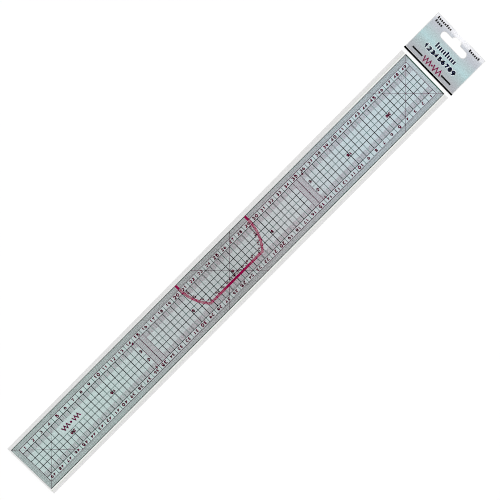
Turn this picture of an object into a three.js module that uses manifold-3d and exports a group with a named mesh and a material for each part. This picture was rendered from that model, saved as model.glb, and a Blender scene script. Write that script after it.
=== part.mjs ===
// A clear marking ruler as it is sold: a plastic strip with its print laminated between two
// sheets, in a film sleeve that hangs from a header card.
//
// Millimetres, +Z up. The pack lies on its back. The ruler's zero end is at -X, where the sleeve
// is open, and the header is at +X. Inside the pack group x runs from the ruler's zero end and
// y from its centre line; the group then puts the origin under the middle of the whole pack.

import * as THREE from 'three';
import { mergeVertices } from 'three/addons/utils/BufferGeometryUtils.js';
import Module from 'manifold-3d';

const wasm = await Module();
wasm.setup();

// The ruler and its two sheets
const rulerLength = 500;
const rulerWidth = 50;
const frontSheetThickness = 0.6;
const backSheetThickness = 0.5;

// The print between the sheets: the green ink goes on first, the magenta ink over it
const greenInkThickness = 0.05;
const magentaInkThickness = 0.05;
const gridLineWidth = 0.3;
const fineLineWidth = 0.25;
const gridPitch = 10;
const edgeScaleDepth = 5;
const innerLineOffsets = [15, 5, 0];

// The blank window in the grid
const windowStartX = 40;
const windowEndX = 70;
const windowTopY = 10;
const windowDepth = 10;

// The two cross scales, which count across the ruler
const crossScaleInset = 150;
const crossScaleWidth = 10;
const crossScaleReach = 15;
const crossScalePitch = 2.5;

// The protractor: a band round a centre near the upper edge, cut off straight at the bottom
const protractorRadius = 45;
const protractorBand = 2.5;
const protractorDepth = 35;
const protractorStepDegrees = 10;

// The film, one web for sleeve and header: how far it is wider than the ruler on each side, how
// far the ruler draws its upper and lower edges in, and the room inside it
const filmThickness = 0.08;
const filmSlack = 0.1;
const filmSideAllowance = 5.9;
const upperDrawAtMouth = 2.7;
const upperDrawAtFold = 0.7;
const lowerDrawAtMouth = 1.3;
const lowerDrawAtFold = 0.6;
const sleeveRun = 1.6;
const mouthOverhang = 1.5;
const closedEndFlange = 1.1;

// The header, which folds where its film meets the sleeve's
const foldGap = 0.6;
const headerLength = 44.7;
const headerFlange = 0.3;
const headerRun = 0.3;
const cardThickness = 0.35;
const foldBarWidth = 1.8;
const foldBarThickness = 0.05;
const foldBarInset = 0.05;

// The hang slot: a long round-ended slot with a notch for the peg above its middle
const slotLength = 30.4;
const slotWidth = 6.4;
const slotCentreFromTop = 11;
const notchRise = 3.4;
const notchBaseWidth = 10;
const notchHeadWidth = 6.4;
const notchRound = 1.4;
const cardSlotGrow = 0.6;

// Steps in a quarter turn, reach of a cutter past the solid that it cuts, and the tolerance that
// welds a mesh's corners
const arcSteps = 10;
const cutterReach = 1;
const weldTolerance = 1e-5;

// Heights and places that follow from the sizes above
const rulerBottomZ = filmThickness + filmSlack;
const greenInkZ = rulerBottomZ + backSheetThickness;
const magentaInkZ = greenInkZ + greenInkThickness;
const frontSheetZ = magentaInkZ + magentaInkThickness;
const rulerThickness = frontSheetZ + frontSheetThickness - rulerBottomZ;

const halfWidth = rulerWidth / 2;
const halfFilm = halfWidth + filmSideAllowance;
const gridHalfWidth = halfWidth - edgeScaleDepth;
const protractorX = rulerLength / 2;
const protractorY = halfWidth - edgeScaleDepth;

const sleeveInside = filmSlack + rulerThickness + filmSlack;
const sleeveWall = wallInset(sleeveRun, sleeveInside, filmSlack + rulerThickness);
const sleeveFootX = rulerLength + filmSlack + sleeveWall;
const sleeveFootY = halfWidth + filmSlack + sleeveWall;
const sleeveEndX = sleeveFootX + closedEndFlange;
const foldX = sleeveEndX + foldGap / 2;

const headerStartX = foldX + foldGap / 2;
const headerTopX = headerStartX + headerLength;
const headerFootX = headerStartX + foldBarInset + foldBarWidth + foldBarInset;
const headerInside = cardThickness + filmSlack;
const cardInset = filmSlack + wallInset(headerRun, headerInside, cardThickness);
const slotCentreX = headerTopX - slotCentreFromTop;

const packMiddleX = (headerTopX - mouthOverhang) / 2;

// Horizontal distance from the foot of a raised film's sloping wall to the wall's inner face,
// at a height above the foot; the wall is one film thick and rises over a run
function wallInset(run, inside, height) {
  const rise = inside + filmThickness;
  return run * height / rise + filmThickness * Math.hypot(run, rise) / rise;
}

function toSolid(geometry) {
  geometry.deleteAttribute('normal');
  geometry.deleteAttribute('uv');
  const merged = mergeVertices(geometry, weldTolerance);
  return new wasm.Manifold(new wasm.Mesh({
    numProp: 3,
    vertProperties: Float32Array.from(merged.attributes.position.array),
    triVerts: Uint32Array.from(merged.index.array),
  }));
}

function toGeometry(solid) {
  const mesh = solid.getMesh();
  const geometry = new THREE.BufferGeometry();
  geometry.setAttribute('position', new THREE.BufferAttribute(mesh.vertProperties, 3));
  geometry.setIndex(new THREE.BufferAttribute(mesh.triVerts, 1));
  geometry.computeVertexNormals();
  return geometry;
}

function join(solids) {
  return solids.reduce((sum, solid) => sum.add(solid));
}

// A box between two corners
function block(x0, x1, y0, y1, z0, z1) {
  const geometry = new THREE.BoxGeometry(x1 - x0, y1 - y0, z1 - z0);
  geometry.translate((x0 + x1) / 2, (y0 + y1) / 2, (z0 + z1) / 2);
  return geometry;
}

// A flat outline raised from z by a thickness
function plate(shape, z, thickness) {
  const geometry = new THREE.ExtrudeGeometry(shape, {
    depth: thickness,
    bevelEnabled: false,
    curveSegments: arcSteps,
  });
  geometry.translate(0, 0, z);
  return geometry;
}

function polygon(points) {
  return new THREE.Shape(points.map(([x, y]) => new THREE.Vector2(x, y)));
}

function rectangle(rim) {
  return polygon([[rim.x0, rim.y0], [rim.x1, rim.y0], [rim.x1, rim.y1], [rim.x0, rim.y1]]);
}

// A straight printed line from one point to another, as a thin bar
function bar(from, to, width, z, thickness) {
  const start = new THREE.Vector2(...from);
  const run = new THREE.Vector2(...to).sub(start);
  const geometry = new THREE.BoxGeometry(run.length(), width, thickness);
  geometry.rotateZ(run.angle());
  geometry.translate(start.x + run.x / 2, start.y + run.y / 2, z + thickness / 2);
  return toSolid(geometry);
}

function magentaBar(from, to) {
  return bar(from, to, fineLineWidth, magentaInkZ, magentaInkThickness);
}

// A block with sloping sides: its foot and its top are two rectangles
function frustum(foot, top, bottomZ, topZ) {
  const geometry = new THREE.BoxGeometry(1, 1, 1);
  const corners = geometry.attributes.position;
  for (let i = 0; i < corners.count; i += 1) {
    const high = corners.getZ(i) > 0;
    const rim = high ? top : foot;
    const x = corners.getX(i) > 0 ? rim.x1 : rim.x0;
    const y = corners.getY(i) > 0 ? rim.y1 : rim.y0;
    corners.setXYZ(i, x, y, high ? topZ : bottomZ);
  }
  return toSolid(geometry);
}

// A film whose flange lies flat on the film below and whose middle is raised over what it
// holds. foot is the rectangle where the walls start, and each wall slopes over its own run. A
// wall with no run is left open, as the mouth.
function raisedFilm(outline, foot, runs, inside) {
  const seatZ = filmThickness;
  const rise = inside + filmThickness;
  const inset = (rim, dx0, dx1, dy) => (
    { x0: rim.x0 + dx0, x1: rim.x1 - dx1, y0: rim.y0 + dy, y1: rim.y1 - dy }
  );
  const innerRim = (height) => {
    const wall = (run) => (run > 0 ? wallInset(run, inside, height) : -cutterReach);
    return inset(foot, wall(runs.x0), wall(runs.x1), wall(runs.y));
  };
  const outer = frustum(foot, inset(foot, runs.x0, runs.x1, runs.y), seatZ, seatZ + rise);
  const inner = frustum(innerRim(-cutterReach), innerRim(inside), seatZ - cutterReach, seatZ + inside);
  return toSolid(plate(outline, seatZ, filmThickness)).add(outer).subtract(inner);
}

// Ends a straight side before a corner and carries the outline round it
function roundCorner(shape, before, corner, after, radius) {
  const start = before.clone().sub(corner).setLength(radius).add(corner);
  const end = after.clone().sub(corner).setLength(radius).add(corner);
  shape.lineTo(start.x, start.y);
  shape.quadraticCurveTo(corner.x, corner.y, end.x, end.y);
}

// The hang slot's outline, grown all round by an amount
function hangSlot(grow) {
  const radius = slotWidth / 2 + grow;
  const endY = (slotLength - slotWidth) / 2;
  const sideX = slotCentreX + radius;
  const headX = sideX + notchRise;
  const baseY = notchBaseWidth / 2 + grow;
  const headY = notchHeadWidth / 2 + grow;
  const upperBase = new THREE.Vector2(sideX, baseY);
  const upperHead = new THREE.Vector2(headX, headY);
  const lowerHead = new THREE.Vector2(headX, -headY);
  const lowerBase = new THREE.Vector2(sideX, -baseY);

  const shape = new THREE.Shape();
  shape.absarc(slotCentreX, endY, radius, Math.PI, 0, true);
  shape.lineTo(upperBase.x, upperBase.y);
  roundCorner(shape, upperBase, upperHead, lowerHead, notchRound);
  roundCorner(shape, upperHead, lowerHead, lowerBase, notchRound);
  shape.lineTo(lowerBase.x, lowerBase.y);
  shape.absarc(slotCentreX, -endY, radius, 0, -Math.PI, true);
  return shape;
}

function slotCutter(grow) {
  const height = 2 * cutterReach + filmThickness + headerInside + filmThickness;
  return toSolid(plate(hangSlot(grow), -cutterReach, height));
}

// A flat network of printed lines: some across the ruler, each at an x, and some along it, each
// at a y, all of one width and joined where they cross. Each blank is a rectangle that the lines
// stay out of, and the outermost lines end square on each other.
function lineNetwork({ acrossAt, alongAt, blanks, width, z, thickness }) {
  const half = width / 2;
  const breaks = (lines, edges) => {
    const places = lines.flatMap((centre) => [centre - half, centre + half]).concat(edges);
    const steps = new Set(places.map((place) => Math.round(place / weldTolerance)));
    return [...steps].sort((a, b) => a - b).map((step) => step * weldTolerance);
  };
  const xs = breaks(acrossAt, blanks.flatMap((blank) => [blank.x0, blank.x1]));
  const ys = breaks(alongAt, blanks.flatMap((blank) => [blank.y0, blank.y1]));

  const onLine = (place, lines) => lines.some((centre) => Math.abs(place - centre) < half);
  const inBlank = (x, y) => blanks.some(
    (blank) => x > blank.x0 && x < blank.x1 && y > blank.y0 && y < blank.y1,
  );
  const filled = (i, j) => {
    if (i < 0 || j < 0 || i > xs.length - 2 || j > ys.length - 2) return false;
    const x = (xs[i] + xs[i + 1]) / 2;
    const y = (ys[j] + ys[j + 1]) / 2;
    return (onLine(x, acrossAt) || onLine(y, alongAt)) && !inBlank(x, y);
  };

  const corners = [];
  const face = (a, b, c, d) => corners.push(...a, ...b, ...c, ...a, ...c, ...d);
  const top = z + thickness;
  for (let i = 0; i < xs.length - 1; i += 1) {
    for (let j = 0; j < ys.length - 1; j += 1) {
      if (!filled(i, j)) continue;
      const [x0, x1, y0, y1] = [xs[i], xs[i + 1], ys[j], ys[j + 1]];
      face([x0, y0, top], [x1, y0, top], [x1, y1, top], [x0, y1, top]);
      face([x0, y1, z], [x1, y1, z], [x1, y0, z], [x0, y0, z]);
      if (!filled(i, j - 1)) face([x0, y0, z], [x1, y0, z], [x1, y0, top], [x0, y0, top]);
      if (!filled(i + 1, j)) face([x1, y0, z], [x1, y1, z], [x1, y1, top], [x1, y0, top]);
      if (!filled(i, j + 1)) face([x1, y1, z], [x0, y1, z], [x0, y1, top], [x1, y1, top]);
      if (!filled(i - 1, j)) face([x0, y1, z], [x0, y0, z], [x0, y0, top], [x0, y1, top]);
    }
  }
  const geometry = new THREE.BufferGeometry();
  geometry.setAttribute('position', new THREE.Float32BufferAttribute(corners, 3));
  const merged = mergeVertices(geometry, weldTolerance);
  merged.computeVertexNormals();
  return merged;
}

// The ruler's two clear sheets
function sheet(z, thickness) {
  return block(0, rulerLength, -halfWidth, halfWidth, z, z + thickness);
}

// What is printed near the ruler's edge stays on the ruler
function clipToRuler(solid) {
  return solid.intersect(toSolid(sheet(greenInkZ - cutterReach, rulerThickness + 2 * cutterReach)));
}

// Numbers from a start to an end, one every step
function series(start, end, step) {
  const count = Math.floor((end - start) / step + weldTolerance) + 1;
  return Array.from({ length: count }, (_, i) => start + i * step);
}

function crossScaleCentres() {
  return [crossScaleInset, rulerLength - crossScaleInset];
}

// The inside of a rectangle whose sides are printed lines of the grid
function gridBlank(x0, x1, y0, y1) {
  const corner = gridLineWidth / 2;
  return { x0: x0 + corner, x1: x1 - corner, y0: y0 + corner, y1: y1 - corner };
}

// The green grid: a frame at the foot of the edge scales, the centimetre lines across the ruler
// and the lines along it, left out in the blank window and under the cross scales
function gridPrint() {
  const endX = rulerLength - edgeScaleDepth;
  const blanks = crossScaleCentres().map((x) => gridBlank(
    x - crossScaleWidth / 2,
    x + crossScaleWidth / 2,
    -crossScaleReach,
    crossScaleReach,
  ));
  blanks.push(gridBlank(windowStartX, windowEndX, windowTopY - windowDepth, windowTopY));
  const offsets = [gridHalfWidth, ...innerLineOffsets];
  return lineNetwork({
    acrossAt: [edgeScaleDepth, ...series(gridPitch, endX - gridLineWidth, gridPitch), endX],
    alongAt: [...new Set(offsets.flatMap((offset) => [offset, -offset]))],
    blanks,
    width: gridLineWidth,
    z: greenInkZ,
    thickness: greenInkThickness,
  });
}

// A cross scale: two rails and a centre line, with rungs that count across the ruler
function crossScale(centreX) {
  return lineNetwork({
    acrossAt: [centreX - crossScaleWidth / 2, centreX, centreX + crossScaleWidth / 2],
    alongAt: series(-crossScaleReach, crossScaleReach, crossScalePitch),
    blanks: [],
    width: fineLineWidth,
    z: magentaInkZ,
    thickness: magentaInkThickness,
  });
}

// Two lines at 45 degrees that cross on the ruler's centre line and reach its edges
function biasCross(centreX) {
  const reach = halfWidth + fineLineWidth;
  const rising = magentaBar([centreX - reach, -reach], [centreX + reach, reach]);
  const falling = magentaBar([centreX - reach, reach], [centreX + reach, -reach]);
  return clipToRuler(rising.add(falling));
}

// The region inside one of the protractor's lines: straight from above the ruler's edge down to
// the protractor's centre, round an arc, and cut off straight at a depth below the edge
function protractorRegion(radius, depth) {
  const floorY = halfWidth - depth;
  const swing = Math.asin((floorY - protractorY) / radius);
  const shape = new THREE.Shape();
  shape.moveTo(protractorX + radius, halfWidth + cutterReach);
  shape.lineTo(protractorX - radius, halfWidth + cutterReach);
  shape.absarc(protractorX, protractorY, radius, Math.PI, Math.PI - swing, false);
  shape.absarc(protractorX, protractorY, radius, swing, 0, false);
  return toSolid(plate(shape, magentaInkZ, magentaInkThickness));
}

// The protractor's two lines, its degree marks between them, and the bias cross behind it
function protractorPrint() {
  const innerRadius = protractorRadius - protractorBand;
  const innerDepth = protractorDepth - protractorBand;
  const outline = (radius, depth) => protractorRegion(radius, depth)
    .subtract(protractorRegion(radius - fineLineWidth, depth - fineLineWidth));
  const band = protractorRegion(protractorRadius, protractorDepth)
    .subtract(protractorRegion(innerRadius, innerDepth));

  const rays = [];
  for (let angle = 0; angle <= 180; angle += protractorStepDegrees) {
    const turn = THREE.MathUtils.degToRad(angle);
    const tip = [
      protractorX - protractorRadius * Math.cos(turn),
      protractorY - protractorRadius * Math.sin(turn),
    ];
    rays.push(magentaBar([protractorX, protractorY], tip));
  }

  const lines = outline(protractorRadius, protractorDepth)
    .add(outline(innerRadius + fineLineWidth, innerDepth + fineLineWidth));
  return clipToRuler(lines.add(band.intersect(join(rays)))).add(biasCross(protractorX));
}

// The sleeve's plan: nearly as wide as the header at the fold, and drawn in towards the mouth
function sleeveOutline() {
  return polygon([
    [-mouthOverhang, lowerDrawAtMouth - halfFilm],
    [sleeveEndX, lowerDrawAtFold - halfFilm],
    [sleeveEndX, halfFilm - upperDrawAtFold],
    [-mouthOverhang, halfFilm - upperDrawAtMouth],
  ]);
}

// The sleeve's front film, divided at its creases: the flat panel over the ruler, the sloping
// walls round it and the flat seams outside those, welded to the film behind
function sleeveFrontParts() {
  const foot = { x0: -mouthOverhang, x1: sleeveFootX, y0: -sleeveFootY, y1: sleeveFootY };
  const film = raisedFilm(sleeveOutline(), foot, { x0: 0, x1: sleeveRun, y: sleeveRun }, sleeveInside);
  const topInset = wallInset(sleeveRun, sleeveInside, sleeveInside);
  const panelX = sleeveFootX - topInset;
  const panelY = sleeveFootY - topInset;
  const farX = sleeveEndX + cutterReach;
  const farY = halfFilm + cutterReach;
  const farZ = filmThickness + sleeveInside + filmThickness + cutterReach;
  const part = (x0, x1, y0, y1) => film.intersect(toSolid(block(x0, x1, y0, y1, 0, farZ)));
  return {
    sleeve_front_panel: part(-farX, panelX, -panelY, panelY),
    sleeve_upper_wall: part(-farX, panelX, panelY, sleeveFootY),
    sleeve_lower_wall: part(-farX, panelX, -sleeveFootY, -panelY),
    sleeve_end_wall: part(panelX, sleeveFootX, -sleeveFootY, sleeveFootY),
    sleeve_upper_seam: part(-farX, farX, sleeveFootY, farY),
    sleeve_lower_seam: part(-farX, farX, -farY, -sleeveFootY),
    sleeve_end_seam: part(sleeveFootX, farX, -sleeveFootY, sleeveFootY),
  };
}

const headerRim = { x0: headerStartX, x1: headerTopX, y0: -halfFilm, y1: halfFilm };

// Where the header's front film leaves the film behind it
const headerFoot = {
  x0: headerFootX,
  x1: headerRim.x1 - headerFlange,
  y0: headerRim.y0 + headerFlange,
  y1: headerRim.y1 - headerFlange,
};

function headerFrontFilm() {
  const runs = { x0: headerRun, x1: headerRun, y: headerRun };
  const film = raisedFilm(rectangle(headerRim), headerFoot, runs, headerInside);
  return film.subtract(slotCutter(0));
}

function headerBackFilm() {
  return toSolid(plate(rectangle(headerRim), 0, filmThickness)).subtract(slotCutter(0));
}

function headerCard() {
  const rim = {
    x0: headerFoot.x0 + cardInset,
    x1: headerFoot.x1 - cardInset,
    y0: headerFoot.y0 + cardInset,
    y1: headerFoot.y1 - cardInset,
  };
  return toSolid(plate(rectangle(rim), filmThickness, cardThickness)).subtract(slotCutter(cardSlotGrow));
}

// The dark bar printed across the header's film beside the fold
function foldBar() {
  const x0 = headerStartX + foldBarInset;
  const z = 2 * filmThickness;
  return block(x0, x0 + foldBarWidth, headerRim.y0, headerRim.y1, z, z + foldBarThickness);
}

const clearPlastic = (color) => new THREE.MeshStandardMaterial({
  color,
  roughness: 0.15,
  metalness: 0,
  transparent: true,
  opacity: 0.4,
});

const ink = (color) => new THREE.MeshStandardMaterial({ color, roughness: 0.5, metalness: 0 });

const printedCard = new THREE.MeshStandardMaterial({ color: 0xb8cbce, roughness: 0.45, metalness: 0 });

const sheetColor = 0xbfdcd2;
const filmColor = 0xe6e6e8;
const greenInkColor = 0x2f4f49;
const magentaInkColor = 0xa8245f;
const barColor = 0x101414;

const pack = new THREE.Group();
pack.position.x = -packMiddleX;

function addPiece(name, geometry, material) {
  const mesh = new THREE.Mesh(geometry, material);
  mesh.name = name;
  pack.add(mesh);
}

function addSolid(name, solid, material) {
  addPiece(name, toGeometry(solid), material);
}

const [leftScaleX, rightScaleX] = crossScaleCentres();

addPiece('ruler_front_sheet', sheet(frontSheetZ, frontSheetThickness), clearPlastic(sheetColor));
addPiece('ruler_back_sheet', sheet(rulerBottomZ, backSheetThickness), clearPlastic(sheetColor));
addPiece('grid_print', gridPrint(), ink(greenInkColor));
addSolid('protractor_print', protractorPrint(), ink(magentaInkColor));
addSolid('left_bias_cross_print', biasCross(halfWidth), ink(magentaInkColor));
addSolid('right_bias_cross_print', biasCross(rulerLength - halfWidth), ink(magentaInkColor));
addPiece('left_cross_scale_print', crossScale(leftScaleX), ink(magentaInkColor));
addPiece('right_cross_scale_print', crossScale(rightScaleX), ink(magentaInkColor));

for (const [name, solid] of Object.entries(sleeveFrontParts())) {
  addSolid(name, solid, clearPlastic(filmColor));
}
addPiece('sleeve_back_film', plate(sleeveOutline(), 0, filmThickness), clearPlastic(filmColor));

addSolid('header_front_film', headerFrontFilm(), clearPlastic(filmColor));
addSolid('header_back_film', headerBackFilm(), clearPlastic(filmColor));
addSolid('header_card', headerCard(), printedCard);
addPiece('fold_bar_print', foldBar(), ink(barColor));

const model = new THREE.Group();
model.add(pack);

export default model;
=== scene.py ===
"""A clear marking ruler in its film sleeve, with its header card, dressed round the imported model.

Lengths are metres in the frame's axes. What is printed is drawn in millimetres: on the ruler, u
runs from the zero end towards the header and y from the centre line towards the protractor's
edge; on the header, u runs from the fold towards the slot.
"""
import math

import bpy
from mathutils import Euler, Matrix, Vector, noise


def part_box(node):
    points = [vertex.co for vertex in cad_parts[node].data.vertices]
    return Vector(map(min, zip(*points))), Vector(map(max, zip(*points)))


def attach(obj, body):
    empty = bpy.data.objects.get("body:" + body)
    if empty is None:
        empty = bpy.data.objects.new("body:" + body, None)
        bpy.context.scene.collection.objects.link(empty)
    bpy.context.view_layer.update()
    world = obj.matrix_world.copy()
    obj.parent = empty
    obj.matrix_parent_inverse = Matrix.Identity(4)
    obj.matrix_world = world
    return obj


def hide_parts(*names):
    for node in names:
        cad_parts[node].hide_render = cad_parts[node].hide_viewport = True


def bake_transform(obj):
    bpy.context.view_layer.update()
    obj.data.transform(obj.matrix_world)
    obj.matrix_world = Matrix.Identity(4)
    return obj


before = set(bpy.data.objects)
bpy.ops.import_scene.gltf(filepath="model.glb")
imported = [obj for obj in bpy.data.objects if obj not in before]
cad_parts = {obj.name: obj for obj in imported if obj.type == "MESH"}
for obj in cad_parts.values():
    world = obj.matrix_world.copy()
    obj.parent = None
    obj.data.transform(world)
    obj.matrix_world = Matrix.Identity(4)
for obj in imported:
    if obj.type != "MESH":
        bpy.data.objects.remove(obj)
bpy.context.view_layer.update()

MM = 0.001
HALF_TURN = 180
QUARTER_TURN = 90
WHITE = (1, 1, 1, 1)


def srgb(red, green, blue):
    """A colour written in the usual 0 to 255 steps, as the linear colour that shaders take."""
    def linear(step):
        share = step / 255
        return share / 12.92 if share <= 0.04045 else ((share + 0.055) / 1.055) ** 2.4
    return (linear(red), linear(green), linear(blue), 1)


def shade(color, share):
    """A colour at a share of its brightness."""
    return tuple(channel * share for channel in color[:3]) + (1,)


def spread(start, end, steps):
    """The places from start to end in even steps."""
    return [start + (end - start) * i / steps for i in range(steps + 1)]


# The photograph's camera

CAMERA_PLACE = (-0.0208, 0.0632, 0.8948)
CAMERA_TURN_DEGREES = (-1.802, -3.923, -45.03)
CAMERA_LENS_MM = 72
CAMERA_SENSOR_MM = 36
CAMERA_CLIP_START = 0.01


def add_camera():
    data = bpy.data.cameras.new("photo_camera")
    data.lens = CAMERA_LENS_MM
    data.sensor_width = CAMERA_SENSOR_MM
    data.clip_start = CAMERA_CLIP_START
    camera = bpy.data.objects.new("photo_camera", data)
    camera.location = CAMERA_PLACE
    camera.rotation_euler = Euler([math.radians(angle) for angle in CAMERA_TURN_DEGREES])
    bpy.context.scene.collection.objects.link(camera)
    bpy.context.scene.camera = camera


add_camera()


# Shader helpers

def shader_tree(name):
    material = bpy.data.materials.new(name)
    material.use_nodes = True
    material.node_tree.nodes.clear()
    return material, material.node_tree


def add_node(tree, kind, inputs=None, **settings):
    """A shader node; an input is a value, or another node's output to link to it."""
    node = tree.nodes.new(kind)
    for key, value in settings.items():
        setattr(node, key, value)
    for socket, value in (inputs or {}).items():
        if isinstance(value, bpy.types.NodeSocket):
            tree.links.new(value, node.inputs[socket])
        else:
            node.inputs[socket].default_value = value
    return node


def finish_tree(tree, shader):
    add_node(tree, "ShaderNodeOutputMaterial", {"Surface": shader})


def maths(tree, operation, *values):
    node = add_node(tree, "ShaderNodeMath", dict(enumerate(values)), operation=operation)
    return node.outputs["Value"]


def vector_maths(tree, operation, *values):
    return add_node(tree, "ShaderNodeVectorMath", dict(enumerate(values)), operation=operation)


def map_range(tree, value, start, end, low=0.0, high=1.0):
    """Takes a value between start and end to one between low and high."""
    settings = {"Value": value, "From Min": start, "From Max": end, "To Min": low, "To Max": high}
    return add_node(tree, "ShaderNodeMapRange", settings).outputs["Result"]


def object_place(tree):
    return add_node(tree, "ShaderNodeTexCoord").outputs["Object"]


def along(tree, axis, start, end):
    """A factor that goes from 0 to 1 along X or Y between two places."""
    split = add_node(tree, "ShaderNodeSeparateXYZ", {"Vector": object_place(tree)})
    return map_range(tree, split.outputs[axis], start, end)


def grain(tree, scale, detail=2.0):
    """Fine even noise over the object's own space."""
    settings = {"Vector": object_place(tree), "Scale": scale, "Detail": detail}
    return add_node(tree, "ShaderNodeTexNoise", settings).outputs["Fac"]


def bump(tree, height, distance):
    return add_node(tree, "ShaderNodeBump", {"Height": height, "Distance": distance}).outputs["Normal"]


def ramp(tree, factor, stops):
    """Colours along a factor: stops is a list of (position, colour)."""
    node = add_node(tree, "ShaderNodeValToRGB", {"Fac": factor})
    elements = node.color_ramp.elements
    while len(elements) < len(stops):
        elements.new(1)
    for element, (position, color) in zip(elements, stops):
        element.position = position
        element.color = color
    return node.outputs["Color"]


def blend_colors(tree, factor, first, second, **settings):
    inputs = {"Fac": factor, "Color1": first, "Color2": second}
    return add_node(tree, "ShaderNodeMixRGB", inputs, **settings).outputs["Color"]


def mix_shaders(tree, share, first, second):
    """A share of the second shader laid over the first."""
    return add_node(tree, "ShaderNodeMixShader", {0: share, 1: first, 2: second}).outputs["Shader"]


# Inks

INK_GRAIN_SCALE = 900
INK_GRAIN_SHADES = ((0.3, 0.88), (0.7, 1.1))
INK_ROUGHNESS = 0.45
INK_BUMP = 0.004 * MM


def ink_material(name, color):
    """Screen-printed ink, a little uneven in depth; under a laminated sheet it has no gloss."""
    material, tree = shader_tree(name)
    mottle = grain(tree, INK_GRAIN_SCALE)
    stops = [(position, shade(color, share)) for position, share in INK_GRAIN_SHADES]
    shader = add_node(tree, "ShaderNodeBsdfPrincipled", {
        "Base Color": ramp(tree, mottle, stops),
        "Roughness": INK_ROUGHNESS,
        "Specular IOR Level": 0.0,
        "Normal": bump(tree, mottle, INK_BUMP),
    })
    finish_tree(tree, shader.outputs["BSDF"])
    return material


def sheer_material(name, color, cover):
    """Ink in dots too fine to see apart: each of its two faces covers a share of what is behind."""
    material, tree = shader_tree(name)
    through = add_node(tree, "ShaderNodeBsdfTransparent")
    ink = add_node(tree, "ShaderNodeBsdfDiffuse", {"Color": color})
    finish_tree(tree, mix_shaders(tree, cover, through.outputs["BSDF"], ink.outputs["BSDF"]))
    return material


EDGE_COLOR = srgb(74, 28, 34)
EDGE_COVER = 0.09
BLOCK_COVER = 0.095

green_ink = ink_material("green_ink", srgb(38, 82, 73))
dark_ink = ink_material("dark_ink", srgb(24, 28, 29))
edge_ink = ink_material("edge_ink", EDGE_COLOR)
sheer_edge_ink = sheer_material("sheer_edge_ink", EDGE_COLOR, EDGE_COVER)
sheer_block_ink = sheer_material("sheer_block_ink", srgb(118, 52, 84), BLOCK_COVER)
rim_ink = ink_material("rim_ink", srgb(22, 78, 58))
plum_ink = ink_material("plum_ink", srgb(84, 16, 52))
block_ink = ink_material("block_ink", srgb(150, 30, 90))
magenta_ink = ink_material("magenta_ink", srgb(184, 4, 86))
figure_ink = ink_material("figure_ink", srgb(104, 0, 46))
stitch_ink = ink_material("stitch_ink", srgb(120, 0, 64))
black_ink = ink_material("black_ink", srgb(4, 5, 5))
navy_ink = ink_material("navy_ink", srgb(0, 12, 48))
pale_ink = ink_material("pale_ink", srgb(246, 254, 255))


# Clear sheets and films

FACING_BLEND = 0.5
GRAZING_POWER = 5.0
RIPPLE_DETAIL = 1.0
GLARE_WHITE = (0.93, 0.93, 0.95, 1)


def mirror_share(tree, head_on, normal):
    """The share of light that a clear surface mirrors: little head-on, and all at a grazing angle."""
    facing = add_node(tree, "ShaderNodeLayerWeight", {"Blend": FACING_BLEND, "Normal": normal})
    grazing = maths(tree, "POWER", facing.outputs["Facing"], GRAZING_POWER)
    return map_range(tree, grazing, 0.0, 1.0, low=head_on)


def clear_material(name, tint, gloss, roughness, ripple_scale, ripple_depth, glare=None):
    """A clear sheet: tinted light goes through it, and its surface mirrors a little. A glare is
    the share of it painted white, a painted reflection where creases would mirror light."""
    material, tree = shader_tree(name)
    color = tint(tree) if callable(tint) else tint
    through = add_node(tree, "ShaderNodeBsdfTransparent", {"Color": color})
    normal = bump(tree, grain(tree, ripple_scale, RIPPLE_DETAIL), ripple_depth)
    mirror = add_node(tree, "ShaderNodeBsdfPrincipled", {
        "Base Color": WHITE,
        "Metallic": 1.0,
        "Roughness": roughness,
        "Normal": normal,
    })
    mirrored = mirror_share(tree, gloss, normal)
    surface = mix_shaders(tree, mirrored, through.outputs["BSDF"], mirror.outputs["BSDF"])
    # Painted reflection: a white diffuse share stands in for light mirrored by creases
    if glare:
        white = add_node(tree, "ShaderNodeBsdfDiffuse", {"Color": GLARE_WHITE})
        surface = mix_shaders(tree, glare(tree), surface, white.outputs["BSDF"])
    finish_tree(tree, surface)
    return material


# The head of the hang slot's notch, where a peg rests, and the painted glare of the creases that fan
# out from it. The glare comes in between two cosines of the turn away from the header's end.
NOTCH_HEAD = 0.27036
FAN_CORE = 3 * MM
FAN_REACH = 13 * MM
FAN_COSINES = (-0.3, 0.4)
FAN_NOISE_SCALE = 5.0
FAN_STREAKS = [(0.35, shade(WHITE, 0.45)), (0.6, WHITE)]
FAN_SHARE = 0.62


def notch_fan(tree):
    """Painted glare: white streaks where creases run out from the slot's notch to the header's end and
    would mirror light.
    """
    offset = vector_maths(tree, "SUBTRACT", object_place(tree), (NOTCH_HEAD, 0, 0))
    flat = vector_maths(tree, "MULTIPLY", offset.outputs["Vector"], (1, 1, 0)).outputs["Vector"]
    reach = vector_maths(tree, "LENGTH", flat).outputs["Value"]
    split = add_node(tree, "ShaderNodeSeparateXYZ", {"Vector": flat})
    turn = maths(tree, "ARCTAN2", split.outputs["Y"], split.outputs["X"])
    rays = add_node(tree, "ShaderNodeTexNoise", {"W": turn, "Scale": FAN_NOISE_SCALE},
                    noise_dimensions="1D").outputs["Fac"]
    fade = map_range(tree, reach, FAN_CORE, FAN_REACH, 1.0, 0.0)
    ahead = map_range(tree, maths(tree, "COSINE", turn), *FAN_COSINES, 0.0, FAN_SHARE)
    share = maths(tree, "MULTIPLY", fade, ahead)
    return maths(tree, "MULTIPLY", share, ramp(tree, rays, FAN_STREAKS))
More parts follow.
